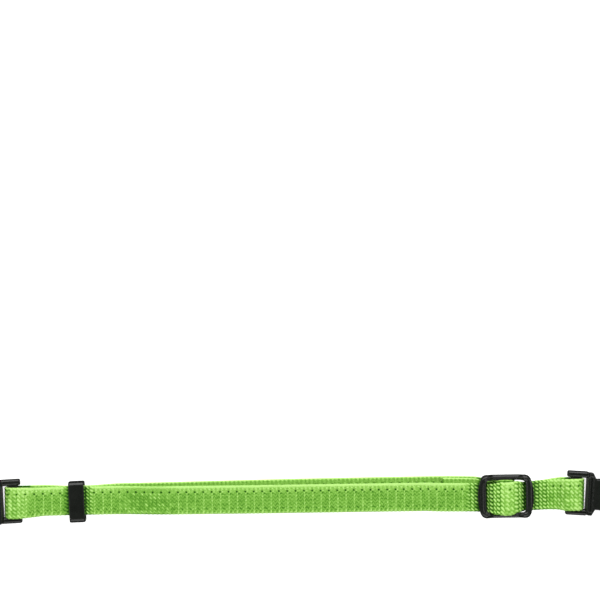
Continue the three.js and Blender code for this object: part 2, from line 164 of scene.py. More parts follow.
def fill_ramp(ramp, stops):
    """Sets a colour ramp from (position, colour) pairs."""
    while len(ramp.elements) < len(stops):
        ramp.elements.new(0.5)
    for element, (position, colour) in zip(ramp.elements, stops):
        element.position = position
        element.color = (*colour, 1.0)


print("shader helpers ready")

# %% [markdown]
# ## The tape's route
# The tape is one continuous strip: tail, over the slider's middle bar, back along the table,
# round the socket's end bar, along the top through keeper and slider, and round the prong's end
# bar. A cloth simulation could lay it there, but it would come to rest in its own way and not as
# the real tape lies. So its centre line is a short table of places and heights, joined by curves
# that never overshoot, with half circles where it turns round a bar. The hard pieces' boxes give
# the places.

# %% Places along the strap
# Sizes are in millimetres. A bar's section is its width along the tape, then its height.
BAR_SPAN = 197.94
SLIDER_BACK = 24.7
TAIL_LONG = 22.0
SLIDER_SIDE = -0.13
END_BAR = (3.4, 1.7)
MIDDLE_BAR = (4.0, 1.6)
SIDE_BAR_PAST = 0.9
SLIDER_WINDOW = 14.0
SLIDER_PAST = 1.0
KEEPER_PAST = 0.1

keeper_low, keeper_high = box_mm("keeper")
slider_x = slider_middle[0]
line_y = slider_middle[1] - SLIDER_SIDE
keeper_x = (keeper_low[0] + keeper_high[0]) / 2
prong_x = slider_x + SLIDER_BACK
socket_x = prong_x - BAR_SPAN
tail_x = slider_x - TAIL_LONG
slider_reach = (slider_high[0] - slider_low[0]) / 2
slider_left = slider_x - slider_reach - SLIDER_PAST
keeper_reach = (keeper_high[0] - keeper_low[0]) / 2 + KEEPER_PAST
window_reach = SLIDER_WINDOW / 2
middle_turn = (MIDDLE_BAR[0] - MIDDLE_BAR[1]) / 2
end_turn = (END_BAR[0] - END_BAR[1]) / 2
loop_end = END_BAR[0] / 2 + SIDE_BAR_PAST
print("bars at x:", round(socket_x, 2), round(slider_x, 2), round(prong_x, 2), "keeper:", round(keeper_x, 2))

# %% Heights of the tape's middle
TAPE_THICK = 1.25
PRESSED_THICK = 1.05
LAYER_GAP = 0.15
CLEARANCE = 0.3
KEEPER_WALL = 1.1
FOOT_SHARE = 0.12
FLANK_SHARE = 0.86


def between(start, end, share):
    """The value a share of the way from start to end."""
    return start + (end - start) * share


on_table = TAPE_THICK / 2
on_one_layer = on_table + TAPE_THICK + LAYER_GAP
on_two_layers = on_one_layer + TAPE_THICK + LAYER_GAP
over_end_bar = TAPE_THICK + END_BAR[1] + 2 * CLEARANCE + TAPE_THICK / 2
over_middle_bar = TAPE_THICK + MIDDLE_BAR[1] + 2 * CLEARANCE + TAPE_THICK / 2
hump = over_middle_bar + TAPE_THICK + LAYER_GAP
pressed_low = PRESSED_THICK / 2
pressed_middle = pressed_low + PRESSED_THICK + LAYER_GAP
pressed_top = pressed_middle + PRESSED_THICK + LAYER_GAP
hump_foot = between(pressed_top, hump, FOOT_SHARE)
hump_flank = between(pressed_top, hump, FLANK_SHARE)
under_bar = pressed_top + PRESSED_THICK / 2 - TAPE_THICK / 2
keeper_low_z = KEEPER_WALL + CLEARANCE + TAPE_THICK / 2
keeper_high_z = keeper_low_z + TAPE_THICK + LAYER_GAP
print("top of the hump in mm:", round(hump + TAPE_THICK / 2, 2))

# %% Route helpers
COLUMNS = ("x", "z", "side", "wide", "thick", "turn")
ROUTE_STEP = 0.1
FOLD_POINTS = 61
SPREAD_POWER = 1.5


def row(x, z, side=0.0, wide=1.0, thick=TAPE_THICK, turn=0.0):
    """One row of the route: place, height, shift and width as shares of the tape, and turn."""
    return (x, z, side, wide, thick, turn)


def run(rows):
    """Joins rows by cubics that never overshoot.

    The slope at a row is the harmonic mean of the slopes on both sides where they agree in sign,
    else nought; between rows each column follows the cubic with those end slopes."""
    table = np.array(rows)
    distance = np.abs(table[:, 0] - table[0, 0])
    gaps = np.diff(distance)
    rise = np.diff(table, axis=0) / gaps[:, None]
    before, after = rise[:-1], rise[1:]
    same = before * after > 0
    middle = np.where(same, 2 * before * after / np.where(same, before + after, 1.0), 0.0)
    slope = np.vstack([np.zeros(table.shape[1]), middle, np.zeros(table.shape[1])])
    place = np.linspace(0.0, distance[-1], max(int(distance[-1] / ROUTE_STEP), 2))
    i = np.clip(np.searchsorted(distance, place, side="right") - 1, 0, len(gaps) - 1)
    share = ((place - distance[i]) / gaps[i])[:, None]
    cubic = table[i] * (2 * share**3 - 3 * share**2 + 1) + table[i + 1] * (3 * share**2 - 2 * share**3)
    leaving = slope[i] * (share**3 - 2 * share**2 + share)
    arriving = slope[i + 1] * (share**3 - share**2)
    cubic += gaps[i][:, None] * (leaving + arriving)
    cubic[:, 0] = between(table[i, 0], table[i + 1, 0], share[:, 0])
    return cubic


def fold(low_row, high_row, centre_x, high_z, start, end):
    """Half a circle in the XZ plane, from the table's layer to high_z, between two angles.

    The share of the height, raised to SPREAD_POWER, mixes the low row into the high one, so most
    of the change in width comes in the upper half of the turn."""
    angle = np.radians(np.linspace(start, end, FOLD_POINTS))[1:-1]
    radius = (high_z - on_table) / 2
    change = (((1 + np.sin(angle)) / 2) ** SPREAD_POWER)[:, None]
    rows = between(np.array(low_row), np.array(high_row), change)
    rows[:, 0] = centre_x + radius * np.cos(angle)
    rows[:, 1] = on_table + radius + radius * np.sin(angle)
    return rows


print("columns of the route:", COLUMNS)

# %% Rows for pressed and folded tape
SOCKET_FOLD_TURN = math.radians(-0.3)
PRONG_FOLD_TURN = math.radians(-1.7)
MIDDLE_FOLD = (0.035, 1.06)
FOLD_ON_TABLE = (0.05, 1.06)


def pressed(x, z, side=0.0, wide=1.0):
    """A row where the slider's end bars squeeze the layers."""
    return row(x, z, side, wide, PRESSED_THICK)


def socket_fold(x, z, side=-0.012, wide=1.1):
    """A row of the fold round the socket's end bar."""
    return row(x, z, side, wide, turn=SOCKET_FOLD_TURN)


def prong_fold(x, z, side=0.0, wide=1.12):
    """A row of the fold round the prong's end bar."""
    return row(x, z, side, wide, turn=PRONG_FOLD_TURN)


def middle_fold(x, z):
    """A row of the turn round the slider's middle bar."""
    return row(x, z, *MIDDLE_FOLD)


print("shift and width of the folds on the table:", FOLD_ON_TABLE)

# %% The tail and the layer on the table
inside_window = between(window_reach, middle_turn, 0.12)
tail = run([
    row(tail_x, on_one_layer, 0.15),
    pressed(slider_left, pressed_middle, 0.11),
    pressed(slider_x - inside_window, pressed_middle),
    middle_fold(slider_x - middle_turn, over_middle_bar),
    middle_fold(slider_x + middle_turn, over_middle_bar),
])
below = run([
    middle_fold(slider_x + middle_turn, on_table),
    row(slider_x - MIDDLE_BAR[0] / 2, on_table, 0.02),
    pressed(slider_x - window_reach, pressed_low, 0.1),
    pressed(slider_left, pressed_low, 0.175),
    row(tail_x - TAPE_THICK, on_table, 0.205),
    row(between(keeper_x, tail_x, 0.62), on_table, 0.186),
    row(between(keeper_x, tail_x, 0.2), on_table, 0.127),
    row(between(keeper_x, tail_x, 0.12), on_table, 0.12),
    row(keeper_x + keeper_reach, keeper_low_z, 0.07),
    row(keeper_x - keeper_reach, keeper_low_z, 0.07),
    row(between(socket_x, keeper_x, 0.5), between(on_table, keeper_low_z, 0.5), 0.1),
    row(between(socket_x, keeper_x, 0.26), on_table, 0.085),
    socket_fold(socket_x + loop_end, on_table, 0.07, 1.02),
    socket_fold(socket_x - end_turn, on_table, *FOLD_ON_TABLE),
])
print("points on the tail:", len(tail), "and on the lower layer:", len(below))

# %% The layer on top and the end turned under
TURNED_UNDER = 14.0
foot_reach = between(MIDDLE_BAR[0], window_reach, 0.8)
top = run([
    socket_fold(socket_x - end_turn, over_end_bar),
    socket_fold(socket_x + end_turn, over_end_bar),
    row(between(socket_x, keeper_x, 0.25), over_end_bar, 0.005, 1.06),
    row(between(socket_x, keeper_x, 0.52), keeper_high_z, 0.03),
    row(keeper_x - keeper_reach, keeper_high_z, 0.04),
    row(keeper_x + keeper_reach, keeper_high_z, 0.045),
    row(between(keeper_x, tail_x, 0.12), on_one_layer, 0.035),
    row(between(keeper_x, tail_x, 0.25), on_one_layer, 0.0),
    row(between(keeper_x, tail_x, 0.5), on_one_layer, -0.01),
    row(between(keeper_x, tail_x, 0.95), on_one_layer, -0.01),
    row(tail_x - TAPE_THICK / 2, on_two_layers, -0.02),
    pressed(slider_left, pressed_top, -0.045),
    pressed(slider_x - window_reach, pressed_top, -0.075),
    row(slider_x - foot_reach, hump_foot, -0.085, 1.02),
    row(slider_x - MIDDLE_BAR[0], hump_flank, -0.095, 1.09),
    row(slider_x - MIDDLE_BAR[0] / 2, hump, -0.085, 1.15),
    row(slider_x, hump, -0.1, 1.17),
    row(slider_x + MIDDLE_BAR[0] / 2, hump, -0.085, 1.165),
    row(slider_x + MIDDLE_BAR[0], hump_flank, -0.03, 1.11),
    row(slider_x + foot_reach, hump_foot, -0.035, 1.03),
    row(slider_x + window_reach, under_bar, -0.02, 1.02),
    row(slider_x + slider_reach, under_bar, -0.01, 1.03),
    row(between(prong_x, slider_x, 0.36), on_one_layer, 0.01, 1.05),
    row(between(prong_x, slider_x, 0.27), on_one_layer, 0.01, 1.06),
    prong_fold(prong_x - loop_end, over_end_bar),
    prong_fold(prong_x - end_turn, over_end_bar),
    prong_fold(prong_x + end_turn, over_end_bar),
])
under = run([
    prong_fold(prong_x + end_turn, on_table, *FOLD_ON_TABLE),
    prong_fold(prong_x - loop_end, on_table, 0.1, 1.0),
    row(prong_x - 2 * loop_end, on_table, 0.085, 1.04),
    row(prong_x - TURNED_UNDER, on_table),
])
print("points on the top layer:", len(top), "and on the end turned under:", len(under))

# %% The turns and the whole route
bent_row = middle_fold(0, 0)
socket_rows = (socket_fold(0, 0, *FOLD_ON_TABLE), socket_fold(0, 0))
prong_rows = (prong_fold(0, 0, *FOLD_ON_TABLE), prong_fold(0, 0))
middle_half_turn = fold(bent_row, bent_row, slider_x + middle_turn, over_middle_bar, 90, -90)
socket_half_turn = fold(*socket_rows, socket_x - end_turn, over_end_bar, 270, 90)
prong_half_turn = fold(*prong_rows, prong_x + end_turn, over_end_bar, 90, -90)
stretches = [tail, middle_half_turn, below, socket_half_turn, top, prong_half_turn, under]
route = np.vstack(stretches)
length = np.concatenate([[0.0], np.cumsum(np.hypot(*np.diff(route[:, :2], axis=0).T))])
ends = np.cumsum([len(stretch) for stretch in stretches])
top_start, top_end = length[ends[3]], length[ends[4] - 1]
print("tape length in mm:", round(length[-1], 1), "top run:", round(top_start, 1), "to", round(top_end, 1))

# %% [markdown]
# ## Stations and section
# A ring of points is carried along the route. A curve with a bevel object could do that too, but
# with numpy the stations lie close together on the top run, which shows, and wider apart below
# it. The ring has flat faces and half-round edges, and most of its points lie on the face that
# ends up outside.

# %% Stations
TOP_STEP = 0.215
HIDDEN_STEP = 0.42
FINE_PAST = 6.0
COARSE_PAST = 9.0


def smooth_step(low, high, value):
    """Nought below low, one above high, and an S-shaped rise between."""
    share = np.clip((value - low) / (high - low), 0.0, 1.0)
    return share * share * (3 - 2 * share)


after_start = smooth_step(top_start - COARSE_PAST, top_start - FINE_PAST, length)
before_end = 1 - smooth_step(top_end + FINE_PAST, top_end + COARSE_PAST, length)
fine = after_start * before_end
density = fine / TOP_STEP + (1 - fine) / HIDDEN_STEP
count = np.concatenate([[0.0], np.cumsum((density[1:] + density[:-1]) / 2 * np.diff(length))])
along = np.interp(np.linspace(0.0, count[-1], int(count[-1])), count, length)
station = {name: np.interp(along, length, route[:, i]) for i, name in enumerate(COLUMNS)}
slope_x = np.gradient(station["x"], along)
slope_z = np.gradient(station["z"], along)
size = np.hypot(slope_x, slope_z)
normal = np.stack([-slope_z / size, np.zeros_like(size), slope_x / size], axis=-1)
across = np.stack([-np.sin(station["turn"]), np.cos(station["turn"]), np.zeros_like(size)], axis=-1)
print("stations:", len(along))

# %% Section of the tape
FACE_POINTS = 40
EDGE_POINTS = 6
EDGE_HALF = TAPE_THICK / 2
flat_half = TAPE_WIDE / 2 - EDGE_HALF
face = np.linspace(1, -1, FACE_POINTS + 1)
back = np.array([-1, -0.66, -0.33, 0, 0.25, 0.42, 0.55, 0.65, 0.74, 0.83, 0.92, 1])
edge = np.linspace(0, 180, EDGE_POINTS + 1)[1:-1]
flat_share = np.concatenate([face, -np.ones(len(edge)), back, np.ones(len(edge))])
edge_angle = np.radians(np.concatenate([
    np.full(len(face), 90.0),
    90 + edge,
    np.full(len(back), 270.0),
    270 + edge,
]))
out_across = np.cos(edge_angle)
out_through = np.sin(edge_angle)
from_edge = TAPE_WIDE / 2 - (flat_share * flat_half + out_across * EDGE_HALF)
print("points in a ring:", len(flat_share))

# %% [markdown]
# ## The knit
# Seen from above the knit has eight rows across the tape. On the flat a smooth rolled edge, a
# row of small holes and one light rib below each hole stand out. Where the tape bends its
# stitches open, and each shows as a slanting stroke with a dark gap; the columns of strokes are
# steep and shallow by turns. Each loop of yarn could be its own curve, or a picture could be laid
# on the tape. Here all of it is one height map, worked out from the distance along the tape and
# the distance from its upper edge, so it holds up close and costs no picture.

# %% Where the knit changes
HOLE_PITCH = 2.96
STITCH = HOLE_PITCH / 2
FLAT_NORMAL = 0.97
HIDDEN_BEND = 0.6
HIDDEN_GRAIN = 0.3
BEND_BLUR = 9

# A row is the distance from the socket's end bar in mm and how much of the bent knit is there.
bend_table = np.array([
    (-4, 0.9), (-2.6, 0.6), (-1.5, 0.36), (3.0, 0.3), (4.5, 0.2), (6.5, 0.0), (17.5, 0.0),
    (19.5, 0.6), (25.6, 1.0), (27.2, 0.7), (28.4, 0.0), (159, 0.0), (161, 0.8), (165, 0.9),
    (168, 1.0), (171.5, 1.0), (173, 0.15), (175.5, 0.15), (177, 0.9), (181, 1.0), (185, 1.0),
    (187, 0.75), (189, 0.3), (192, 0.25), (194, 0.3), (199, 0.35), (200.5, 0.5), (202, 0.9),
])
# A row is the same distance and how much of the grainy knit is there.
grain_table = np.array([
    (-4, 0.7), (1, 0.6), (5, 0.0), (35, 0.0), (42, 0.7), (52, 0.7), (58, 0.0),
    (171, 0.0), (172, 0.6), (176, 0.6), (177, 0.0), (186, 0.0), (188, 0.7), (202, 0.5),
])
# A row is the same distance and the number of the hole there: the tape is stretched unevenly.
hole_table = np.array([
    (1.36, 0), (16.56, 5), (66.83, 22), (90.59, 30), (152.0, 51), (160.9, 54), (168.9, 57),
    (171.1, 58), (174.7, 59), (184.9, 63), (187.7, 64), (190.2, 65), (193.0, 66), (195.8, 67),
])
on_top = (along > top_start) & (along < top_end)
near_fold = np.abs(normal[:, 2]) < FLAT_NORMAL
place = station["x"] - socket_x
top_bend = np.interp(place, bend_table[:, 0], bend_table[:, 1])
bend = np.where(on_top, top_bend, np.where(near_fold, HIDDEN_BEND, 0.0))
bend = np.convolve(np.pad(bend, BEND_BLUR // 2, mode="edge"), np.ones(BEND_BLUR) / BEND_BLUR, mode="valid")
grain = np.where(on_top, np.interp(place, grain_table[:, 0], grain_table[:, 1]), HIDDEN_GRAIN)
hole_along = np.interp(hole_table[:, 0], place[on_top], along[on_top])
beyond = np.minimum(along - hole_along[0], 0) + np.maximum(along - hole_along[-1], 0)
hole_count = np.interp(along, hole_along, hole_table[:, 1]) + beyond / HOLE_PITCH
print("holes along the tape:", int(hole_count[-1] - hole_count[0]))

# %% Stitches
ROW_WIDE = 1.25
HOLE_FROM_EDGE = 2.24
LEAF_ROW = HOLE_FROM_EDGE + ROW_WIDE / 2
LEAF_LONG = 0.82
LEAF_WIDE = 0.29
STEEP = math.radians(47)
SHALLOW = math.radians(26)
STITCH_LUCK = np.random.default_rng(7).uniform(-1, 1, (97, 9))


def nearest(value, pitch):
    """Signed distance to the nearest multiple of pitch."""
    return value - pitch * np.round(value / pitch)


def spot(distance, width):
    """A smooth hill: e to the power minus (distance / width) squared."""
    return np.exp(-((distance / width) ** 2))


def leaf(s, v):
    """One stitch: a slanting leaf in each cell of the knit, tallest along its own middle line.

    With the cell's centre as origin, distance along and across a slanted line gives a hill. The
    columns of cells are steep and shallow by turns. The leaves above and below reach into the
    cell, so the highest of three counts."""
    cell_s = nearest(s - STITCH / 2, STITCH)
    cell_v = nearest(v - LEAF_ROW, ROW_WIDE)
    slant = np.where(np.floor(s / STITCH) % 2 == 0, STEEP, SHALLOW)
    hills = [
        np.exp(-np.abs((cell_s * np.cos(slant) + (cell_v + reach) * np.sin(slant)) / LEAF_LONG) ** 3)
        * spot((cell_v + reach) * np.cos(slant) - cell_s * np.sin(slant), LEAF_WIDE)
        for reach in (-ROW_WIDE, 0.0, ROW_WIDE)
    ]
    return np.maximum.reduce(hills)


def uneven(s, v):
    """A fixed small difference for each stitch, the same for all points in its cell."""
    cell = np.floor(s / STITCH).astype(int) % STITCH_LUCK.shape[0]
    line = np.floor((v - LEAF_ROW) / ROW_WIDE + 0.5).astype(int) % STITCH_LUCK.shape[1]
    return STITCH_LUCK[cell, line]


print("stitches with a difference of their own:", STITCH_LUCK.size)

# %% [markdown]
# ## Depth and tone
# The knit is flat, grainy or bent, and each state gives two things at every point: how deep it
# lies under the tape's outer skin, and a tone. The tone holds the yarn's own pattern and also
# painted light and shade: painted highlights on the crowns and the upper edge, painted shade in
# the gaps. A state is a sum of small hills and waves, each with its own depth and tone, which is
# easier to adjust than one long formula.

# %% The three states of the knit
HOLE_SIZE = 0.25
RIB_PLACE = 0.2
STROKE_ROW = 8.1
BENT_DEPTH = 0.26
GRAIN_DEPTH = 0.1


def shared_marks(s, v, edge_light):
    """What the flat and the grainy knit share, by name.

    Holes are hills at the hole pitch, beads a cosine at the stitch pitch along the lower edge. The
    rolled upper edge and its shoulder carry painted light and fade across the tape; the last
    argument scales them, and below nought it turns them into painted shade. A pair of numbers
    says where a mark begins and ends, in mm from the upper edge."""
    return {
        "body": smooth_step(2.3, 2.9, v) * (1 - smooth_step(9.2, 9.8, v)),
        "luck": uneven(s, v),
        "hole": spot(nearest(s, HOLE_PITCH), HOLE_SIZE) * spot(v - HOLE_FROM_EDGE, HOLE_SIZE),
        "bead": np.cos(2 * np.pi * s / STITCH) * smooth_step(8.6, 9.4, v),
        "rolled": spot(v - 0.45, 0.38) * edge_light,
        "shoulder": (1 - smooth_step(0.9, 3.9, v)) * edge_light,
    }


def flat_knit(s, v, marks):
    """Flat knit: the sum of its marks, each times its depth in mm and times its tone.

    A mark is a hill or a wave, and the numbers in it are its place and its width in mm."""
    body = marks["body"]
    wave = 0.07 * np.cos(2 * np.pi * v / ROW_WIDE)
    chevron = (v - LEAF_ROW) / ROW_WIDE + 1.5 * np.abs(nearest(s - RIB_PLACE, STITCH)) / STITCH
    small_hole = spot(nearest(s - 0.8, HOLE_PITCH), 0.22) * spot(v - HOLE_FROM_EDGE - 0.75, 0.2)
    beside_hole = spot(nearest(s - 0.85, HOLE_PITCH), 0.3) * spot(v - HOLE_FROM_EDGE, HOLE_SIZE)
    rib = spot(nearest(s - RIB_PLACE - wave, HOLE_PITCH), 0.15) * body
    panel = np.cos(2 * np.pi * chevron) * body
    dash = spot(nearest(s - 1.3, HOLE_PITCH), 0.5) * spot(v - 8.15, 0.24)
    slanted = s - 2.25 + 0.8 * (v - STROKE_ROW)
    stroke = spot(nearest(slanted, HOLE_PITCH), 0.17) * spot(v - STROKE_ROW, 0.4)
    speck = np.cos(2 * np.pi * s / STITCH) * spot(v - 1.35, 0.3)
    lower_edge = smooth_step(8.9, 9.6, v)
    depth_and_tone = [
        (marks["hole"], 0.5, -3.0),
        (small_hole, 0.2, -1.1),
        (beside_hole, 0.0, 0.5),
        (rib, -0.07, 0.7),
        (panel, -0.02, 0.26),
        (dash, 0.12, -0.5),
        (stroke, 0.0, 0.8),
        (marks["bead"], -0.05, 0.3),
        (speck, 0.05, -0.35),
        # The rolled upper edge and its shoulder: painted light, with no depth.
        (marks["rolled"], 0.0, 0.5),
        (marks["shoulder"], 0.0, 0.5),
        (marks["luck"] * body, 0.0, 0.12),
        (lower_edge, 0.0, 0.6),
    ]
    depth = 0.06 + sum(mark * deep for mark, deep, _ in depth_and_tone)
    tone = 0.05 + sum(mark * light for mark, _, light in depth_and_tone)
    return depth, tone


def grainy_knit(s, v, marks):
    """Grainy knit: a small slanting stroke in each cell, with the holes and edges of the flat."""
    body, luck, hole = marks["body"], marks["luck"], marks["hole"]
    cell_v = nearest(v - LEAF_ROW, ROW_WIDE)
    stroke = spot(nearest(s - STITCH / 2 - 0.7 * cell_v, STITCH), 0.24) * spot(cell_v, 0.4)
    depth = GRAIN_DEPTH * (1 - stroke * body) + 0.45 * hole
    tone = (1.4 + 0.7 * luck) * stroke * body - 0.2 + 0.2 * luck * body - 2.4 * hole
    # Painted light on the rolled upper edge and its shoulder.
    tone = tone + 0.62 * marks["rolled"] + 0.4 * marks["shoulder"] + 0.3 * marks["bead"]
    return depth, tone


def bent_knit(s, v, luck):
    """Bent knit: the leaves stand up, their crowns painted light, with painted shade in the gaps at every
    second column and between rows.
    """
    stitch = leaf(s, v)
    pair_gap = spot(nearest(s, HOLE_PITCH), 0.3)
    row_gap = spot(nearest(v - LEAF_ROW - ROW_WIDE / 2, ROW_WIDE), 0.22)
    depth = BENT_DEPTH * (1 - stitch * (1 - 0.4 * pair_gap))
    # Painted highlight on each leaf and painted shade in the gaps between columns and rows.
    tone = (2.4 + 0.5 * luck) * stitch - 0.75 - 1.1 * pair_gap * row_gap * (1 - stitch)
    return depth, tone


def knit(s, v, bend, grain, edge_light):
    """Depth in mm below the tape's outer skin, and tone: nought is middling, less is darker.

    s runs along the tape from a hole and v across it from the upper edge. grain mixes the flat
    state into the grainy one, and bend mixes the result into the bent one."""
    marks = shared_marks(s, v, edge_light)
    states = zip(flat_knit(s, v, marks), grainy_knit(s, v, marks), bent_knit(s, v, marks["luck"]))
    return [between(between(flat, grainy, grain), bent, bend) for flat, grainy, bent in states]


print("states of the knit: flat, grainy, bent")

# %% Depth and tone along the whole tape
HIDDEN_EDGE_LIGHT = -0.6
END_SHADE_LONG = 0.5
END_SHADE_TONE = -0.7
s_grid = (hole_count * HOLE_PITCH)[:, None]
v_grid = from_edge[None, :]
# On the top run the rolled upper edge and its shoulder get painted light; on hidden layers the same marks
# are scaled below nought into painted shade.
painted_edge_light = np.where(on_top, 1.0, HIDDEN_EDGE_LIGHT)[:, None]
depth, tone = knit(s_grid, v_grid, bend[:, None], grain[:, None], painted_edge_light)
end_distance = np.minimum(along, length[-1] - along)
# Near both melted ends of the tape the tone turns dark: painted shade at the cut ends.
end_shade = spot(end_distance, END_SHADE_LONG)[:, None]
tone = tone * (1 - end_shade) + END_SHADE_TONE * end_shade
print("depth of the knit in mm:", round(depth.min(), 2), "to", round(depth.max(), 2))

# %% [markdown]
# ## Light and shade on the tape
# Next to the hard pieces and inside the buckle's loops little light reaches the yarn. That shade
# could be left to the lamps, but they darken those places less than on the real tape. So a table
# along the top run darkens the knit beside the bars and lifts it where it leans to the light, and
# the hidden layers are darker in the slider's slots and low in the loops.

# %% Light and shade
HIDDEN_TONE = 0.6
SLIDER_DARK = 1.3
RAISED_SHARE = 0.45
LOOP_DARK = 0.1
LOW_DARK = 1.8
SLIDER_FROM = (163.4, 164.4)
SLIDER_TO = (182.4, 183.4)
SOCKET_LOOP = (4.5, 7.5)
PRONG_LOOP = (193, 196)

# A row is the distance from the socket's end bar in mm and the tone added there.
lift_table = np.array([
    (-3.4, -1.6), (-2.9, -1.0), (-2.2, 0.3), (4.0, 0.4), (7.0, 0.0), (17.6, 0.0), (19.2, -0.8),
    (26.0, -0.8), (27.2, 0.1), (29.0, 0.0), (162.3, 0.0), (163.4, -0.9), (165.6, -2.2), (166.6, -1.9),
    (167.4, -0.2), (169.5, 0.0), (172.0, 0.45), (176.0, 0.4), (178.6, 0.1), (179.4, -0.9),
    (180.2, -1.9), (183.2, -0.5), (184.5, 0.0), (190.0, 0.1), (195.0, 0.3), (199.0, 0.5), (200.6, 0.4),
])
hidden = (1 - on_top.astype(float))[:, None]
side_bead = np.cos(2 * np.pi * s_grid / STITCH) * (1 - smooth_step(1.6, 2.6, v_grid))
in_slider = smooth_step(*SLIDER_FROM, place) * (1 - smooth_step(*SLIDER_TO, place))
at_loops = (1 - smooth_step(*SOCKET_LOOP, place)) + smooth_step(*PRONG_LOOP, place)
low_down = 1 - smooth_step(1.6, 4.6, station["z"])
raised = smooth_step(3.0, 4.6, station["z"])
shaded = HIDDEN_TONE - SLIDER_DARK * in_slider * (1 - RAISED_SHARE * raised)
shaded = shaded - (LOOP_DARK + LOW_DARK * low_down) * at_loops
# On hidden layers: beads by the upper edge, the painted shade worked out above, and a painted highlight
# along the upper edge.
tone = tone + hidden * (0.35 * side_bead + shaded[:, None] + 1.3 * spot(v_grid, 0.45))
tone = tone + np.where(on_top, np.interp(place, lift_table[:, 0], lift_table[:, 1]), 0.0)[:, None]
print("tone of the knit:", round(tone.min(), 2), "to", round(tone.max(), 2))

# %% The tape's skin
def closed_skin(name, rings):
    """A mesh through rings of points, each ring closed on itself, with a fan over both ends."""
    number, points, _ = rings.shape
    ring, point = np.meshgrid(np.arange(number - 1), np.arange(points), indexing="ij")
    here = ring * points + point
    beside = ring * points + (point + 1) % points
    quads = np.stack([here, beside, beside + points, here + points], axis=-1).reshape(-1, 4)
    rim = np.arange(points)
    last = (number - 1) * points
    poles = np.array([number * points, number * points + 1])
    first_fan = np.stack([np.full(points, poles[0]), (rim + 1) % points, rim], axis=-1)
    last_fan = np.stack([np.full(points, poles[1]), last + rim, last + (rim + 1) % points], axis=-1)
    vertices = np.vstack([rings.reshape(-1, 3), rings[0].mean(axis=0), rings[-1].mean(axis=0)])
    mesh = bpy.data.meshes.new(name)
    mesh.from_pydata(vertices, [], quads.tolist() + first_fan.tolist() + last_fan.tolist())
    mesh.shade_smooth()
    item = bpy.data.objects.new(name, mesh)
    bpy.context.scene.collection.objects.link(item)
    return item


def outward(item):
    """Turns all faces outwards where the mesh's signed volume is below nought."""
    work = bmesh.new()
    work.from_mesh(item.data)
    if work.calc_volume(signed=True) < 0:
        bmesh.ops.reverse_faces(work, faces=work.faces)
    volume = work.calc_volume(signed=True)
    work.to_mesh(item.data)
    work.free()
    return volume


BEADS_OUT = 0.05
SCALLOP = 0.04
END_THINNER = 0.35
END_LONG = 0.35
EDGE_SMOOTHER = 0.7
wide = (station["wide"] * TAPE_WIDE / 2 + BEADS_OUT)[:, None]
end_share = 1 - END_THINNER * spot(end_distance, END_LONG)[:, None]
half_thick = (station["thick"] / 2)[:, None] * end_share
scallop = SCALLOP * np.cos(2 * np.pi * s_grid / STITCH) * np.maximum(-out_across, 0.0)[None, :]
edge_depth = depth * (1 - EDGE_SMOOTHER * np.abs(out_across)[None, :])
edge_reach = out_across[None, :] * (half_thick - edge_depth + scallop)
shift_across = flat_share[None, :] * (wide - half_thick) + edge_reach
shift_through = out_through[None, :] * (half_thick - depth)
centre = np.stack([station["x"], line_y + station["side"] * TAPE_WIDE, station["z"]], axis=-1)
rings = centre[:, None, :] + shift_across[..., None] * across[:, None, :]
rings = rings + shift_through[..., None] * normal[:, None, :]
strap = closed_skin("strap_knit", rings * MM)
strap_volume = outward(strap)
strap_triangles = sum(len(polygon.vertices) - 2 for polygon in strap.data.polygons)
print("strap triangles:", strap_triangles, "mm3:", round(strap_volume / MM**3))

# %% Tone and map on the tape
MAP_UNIT = 10.0
stations, ring_points = rings.shape[:2]
tone_layer = strap.data.attributes.new("tone", "FLOAT", "POINT")
# The two end caps get the painted shade of the ends.
vertex_tone = np.append(tone.reshape(-1), [END_SHADE_TONE, END_SHADE_TONE])
tone_layer.data.foreach_set("value", vertex_tone.astype(np.float32))
middle_ring = rings[stations // 2]
around = np.concatenate([[0.0], np.cumsum(np.hypot(*np.diff(middle_ring, axis=0).T[1:]))])
corner_vertex = np.zeros(len(strap.data.loops), dtype=np.int32)
strap.data.loops.foreach_get("vertex_index", corner_vertex)
grid_corner = np.minimum(corner_vertex, stations * ring_points - 1)
map_u = along[grid_corner // ring_points] / MAP_UNIT
map_v = around[grid_corner % ring_points] / MAP_UNIT
uv = strap.data.uv_layers.new(name="tape")
uv.data.foreach_set("uv", np.stack([map_u, map_v], axis=-1).reshape(-1).astype(np.float32))
print("once round the section in mm:", round(around[-1], 1))

# %% [markdown]
# ## Colour of the knit
# On the polyester yarn the tone paints the crown of each stitch bright, as a highlight, and the
# gaps between stitches deep green, as shade. A picture of a knit would repeat and blur on so
# narrow a tape. The tone that came with the height map picks the colour from a ramp instead, and
# loops of yarn and fine fibres are added on the tape's own map.

# %% Knit material
FIBRE_SCALE = (40.0, 90.0, 1.0)
FIBRE_SLANT = (0, 0, -0.7)
LOOP_SCALE = 22.0
CLOUD_SCALE = 1.6
FIBRE_SHARE = 0.2
LOOP_SHARE = 0.62
CLOUD_SHARE = 0.12
knit_shader = Shader("lime_knit")
tape_map = knit_shader.add("ShaderNodeUVMap", "UV", {"uv_map": "tape"})
stretched = knit_shader.add("ShaderNodeMapping", "Vector", None, {
    "Vector": tape_map, "Scale": FIBRE_SCALE, "Rotation": FIBRE_SLANT})
fibre = knit_shader.noise(stretched, 1.0, 3.0)
cloud = knit_shader.noise(tape_map, CLOUD_SCALE)
tone_value = knit_shader.add("ShaderNodeAttribute", "Fac", {"attribute_name": "tone"})
loops = knit_shader.noise(tape_map, LOOP_SCALE, 1.0)
shade = tone_value * 0.5 + 0.5 + (fibre - 0.5) * FIBRE_SHARE
